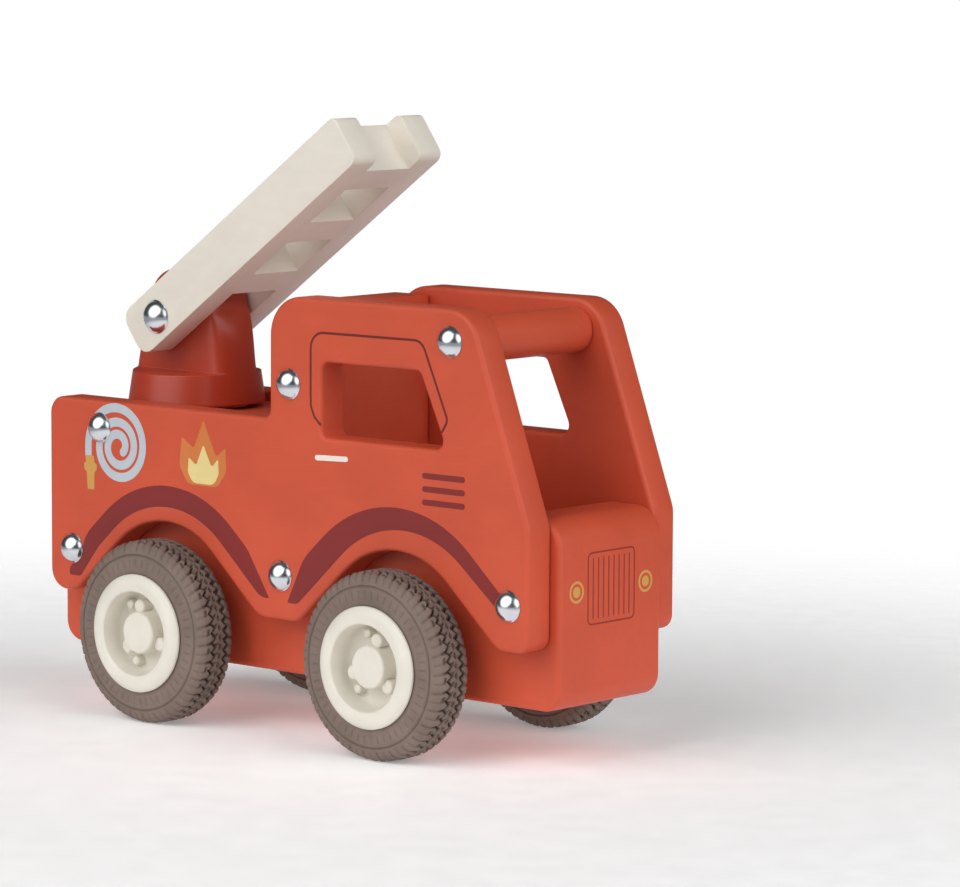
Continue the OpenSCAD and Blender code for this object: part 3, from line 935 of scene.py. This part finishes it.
def make_world(dim=0.08, ground=0.42):
    """A dim studio with a soft patch of light on the right and one in front, over a pale ground.

    The camera sees a white background instead of it.
    """
    world = bpy.data.worlds.new("studio")
    bpy.context.scene.world = world
    world.use_nodes = True
    tree = world.node_tree
    tree.nodes.clear()
    coords = tree.nodes.new("ShaderNodeTexCoord")

    def fade(direction, low, high, to_low, to_high):
        dot = tree.nodes.new("ShaderNodeVectorMath")
        dot.operation = "DOT_PRODUCT"
        dot.inputs[1].default_value = direction
        tree.links.new(coords.outputs["Generated"], dot.inputs[0])
        step = tree.nodes.new("ShaderNodeMapRange")
        step.interpolation_type = "SMOOTHSTEP"
        for label, value in (("From Min", low), ("From Max", high), ("To Min", to_low), ("To Max", to_high)):
            step.inputs[label].default_value = value
        tree.links.new(dot.outputs["Value"], step.inputs["Value"])
        return step.outputs["Result"]

    def larger(first, second):
        node = tree.nodes.new("ShaderNodeMath")
        node.operation = "MAXIMUM"
        tree.links.new(first, node.inputs[0])
        tree.links.new(second, node.inputs[1])
        return node.outputs["Value"]

    wide, narrow = math.cos(math.radians(42)), math.cos(math.radians(18))
    right_glow, front_glow = 2.75, 2.7
    patches = larger(fade(towards(-14, 30), wide, narrow, dim, right_glow),
                     fade(towards(92, 24), wide, narrow, dim, front_glow))
    total = larger(patches, fade((0, 0, 1), -0.06, 0.0, ground, 0.0))
    studio = tree.nodes.new("ShaderNodeBackground")
    white = tree.nodes.new("ShaderNodeBackground")
    white.inputs["Color"].default_value = (1, 1, 1, 1)
    path = tree.nodes.new("ShaderNodeLightPath")
    mix = tree.nodes.new("ShaderNodeMixShader")
    out = tree.nodes.new("ShaderNodeOutputWorld")
    tree.links.new(total, studio.inputs["Strength"])
    tree.links.new(path.outputs["Is Camera Ray"], mix.inputs["Fac"])
    tree.links.new(studio.outputs["Background"], mix.inputs[1])
    tree.links.new(white.outputs["Background"], mix.inputs[2])
    tree.links.new(mix.outputs["Shader"], out.inputs["Surface"])


def floor_material(near=0.16, far=0.42):
    """Matt white paper that fades into the white background away from the truck."""
    mat = moulded("floor_white", (0.95, 0.95, 0.95), 0.7)
    tree = mat.node_tree
    shader = next(n for n in tree.nodes if n.type == "BSDF_PRINCIPLED")
    out = next(n for n in tree.nodes if n.type == "OUTPUT_MATERIAL")
    coords = next(n for n in tree.nodes if n.type == "TEX_COORD")
    shader.inputs["Specular IOR Level"].default_value = 0.1
    shader.inputs["Subsurface Weight"].default_value = 0.0
    shader.inputs["Emission Color"].default_value = (1, 1, 1, 1)
    shader.inputs["Emission Strength"].default_value = 0.22
    reach = tree.nodes.new("ShaderNodeVectorMath")
    reach.operation = "LENGTH"
    tree.links.new(coords.outputs["Object"], reach.inputs[0])
    fade = tree.nodes.new("ShaderNodeMapRange")
    fade.interpolation_type = "SMOOTHSTEP"
    fade.inputs["From Min"].default_value = near
    fade.inputs["From Max"].default_value = far
    tree.links.new(reach.outputs["Value"], fade.inputs["Value"])
    clear = tree.nodes.new("ShaderNodeBsdfTransparent")
    mix = tree.nodes.new("ShaderNodeMixShader")
    tree.links.new(fade.outputs["Result"], mix.inputs["Fac"])
    tree.links.new(shader.outputs["BSDF"], mix.inputs[1])
    tree.links.new(clear.outputs["BSDF"], mix.inputs[2])
    tree.links.new(mix.outputs["Shader"], out.inputs["Surface"])
    return mat


def make_stage():
    """The floor, the studio around it and the key light."""
    size = 1.2
    bm = bmesh.new()
    bmesh.ops.create_grid(bm, x_segments=8, y_segments=8, size=size / 2)
    mesh = bpy.data.meshes.new("floor")
    bm.to_mesh(mesh)
    bm.free()
    floor = bpy.data.objects.new("floor", mesh)
    bpy.context.scene.collection.objects.link(floor)
    mesh.materials.append(floor_material())
    make_world()
    key_size, key_radiance = 0.9, 0.8
    softbox("key", towards(10, 42, 1.4), (0, 0, 0.06), key_size, key_size, key_radiance)


# The camera's place, its angles in degrees, and its lens and sensor in millimetres
CAMERA_PLACE = Vector((852.98, -929.89, 226.31)) * MM
CAMERA_AZIMUTH, CAMERA_ELEVATION, CAMERA_ROLL = 40.9, 6.61, 0.29
CAMERA_LENS, CAMERA_SENSOR = 168.8, 36


def make_camera():
    """The photograph's viewing angle: from the front right, a little above the deck."""
    backward = towards(CAMERA_AZIMUTH, CAMERA_ELEVATION)
    right = Vector((0, 0, 1)).cross(backward).normalized()
    up = backward.cross(right)
    roll = math.radians(CAMERA_ROLL)
    rolled_right = right * math.cos(roll) + up * math.sin(roll)
    rolled_up = up * math.cos(roll) - right * math.sin(roll)
    data = bpy.data.cameras.new("camera")
    data.sensor_width = CAMERA_SENSOR
    data.lens = CAMERA_LENS
    data.clip_start, data.clip_end = 0.05, 20
    camera = bpy.data.objects.new("camera", data)
    axes = Matrix((rolled_right, rolled_up, backward)).transposed().to_4x4()
    camera.matrix_world = Matrix.Translation(CAMERA_PLACE) @ axes
    bpy.context.scene.collection.objects.link(camera)
    bpy.context.scene.camera = camera


def finish_cad_nodes():
    """Materials for the CAD nodes that stay as they are."""
    for node, material in (("front_axle", STEEL), ("rear_axle", STEEL), ("turret_pin", STEEL),
                           ("axle_washers_front", NYLON), ("axle_washers_rear", NYLON),
                           ("turret_washer", NYLON), ("turret_lower_washer", NYLON)):
        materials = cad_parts[node].data.materials
        materials.clear()
        materials.append(material)


bpy.context.scene.view_settings.view_transform = "Standard"
make_camera()
make_plates()
make_blocks()
make_crossbar()
make_screws()
make_wheels()
make_turret_and_ladder()
make_prints()
make_stage()
finish_cad_nodes()
